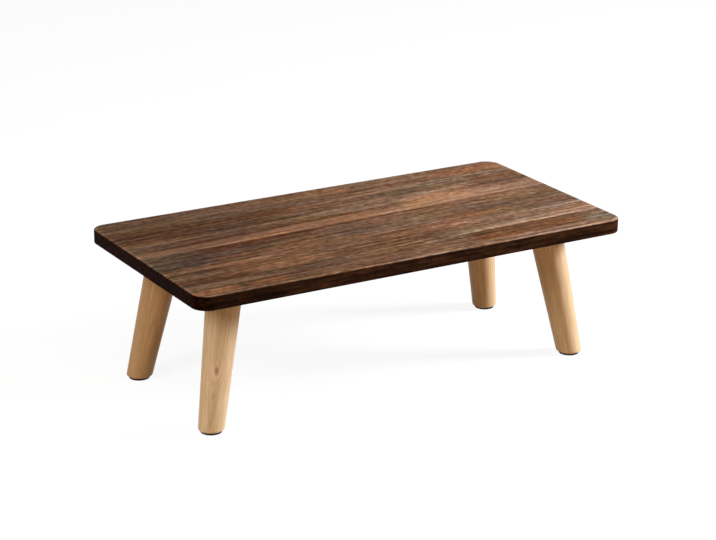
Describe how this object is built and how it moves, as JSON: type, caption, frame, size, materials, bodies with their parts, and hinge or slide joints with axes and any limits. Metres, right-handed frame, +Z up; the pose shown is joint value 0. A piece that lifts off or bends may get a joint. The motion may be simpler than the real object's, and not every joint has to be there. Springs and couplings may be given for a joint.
{
  "type": "low table",
  "caption": "Low rectangular floor table: dark wood board with rounded corners on splayed, tapered round legs of pale wood, held by slanted steel plates.",
  "frame": {"origin": "on the floor, under the middle of the board", "axes": "+X along the table's length, +Y from its front to its back, +Z up"},
  "size_m": [0.6, 0.3, 0.19],
  "materials": {
    "stained_wood": "dark brown stain with open streaky grain, satin",
    "pale_wood": "clear satin lacquer on turned pale wood",
    "zinc_steel": "bright zinc plate",
    "dark_rubber": "matt"
  },
  "bodies": {
    "root": {"tabletop": "stained_wood", "leg_front_left": "pale_wood", "foot_pad_front_left": "dark_rubber", "leg_plate_front_left": "zinc_steel", "hanger_bolt_front_left": "zinc_steel", "plate_screw_front_left_1": "zinc_steel", "plate_screw_front_left_2": "zinc_steel", "plate_screw_front_left_3": "zinc_steel", "plate_screw_front_left_4": "zinc_steel", "leg_front_right": "pale_wood", "foot_pad_front_right": "dark_rubber", "leg_plate_front_right": "zinc_steel", "hanger_bolt_front_right": "zinc_steel", "plate_screw_front_right_1": "zinc_steel", "plate_screw_front_right_2": "zinc_steel", "plate_screw_front_right_3": "zinc_steel", "plate_screw_front_right_4": "zinc_steel", "leg_back_left": "pale_wood", "foot_pad_back_left": "dark_rubber", "leg_plate_back_left": "zinc_steel", "hanger_bolt_back_left": "zinc_steel", "plate_screw_back_left_1": "zinc_steel", "plate_screw_back_left_2": "zinc_steel", "plate_screw_back_left_3": "zinc_steel", "plate_screw_back_left_4": "zinc_steel", "leg_back_right": "pale_wood", "foot_pad_back_right": "dark_rubber", "leg_plate_back_right": "zinc_steel", "hanger_bolt_back_right": "zinc_steel", "plate_screw_back_right_1": "zinc_steel", "plate_screw_back_right_2": "zinc_steel", "plate_screw_back_right_3": "zinc_steel", "plate_screw_back_right_4": "zinc_steel"}
  },
  "joints": []
}
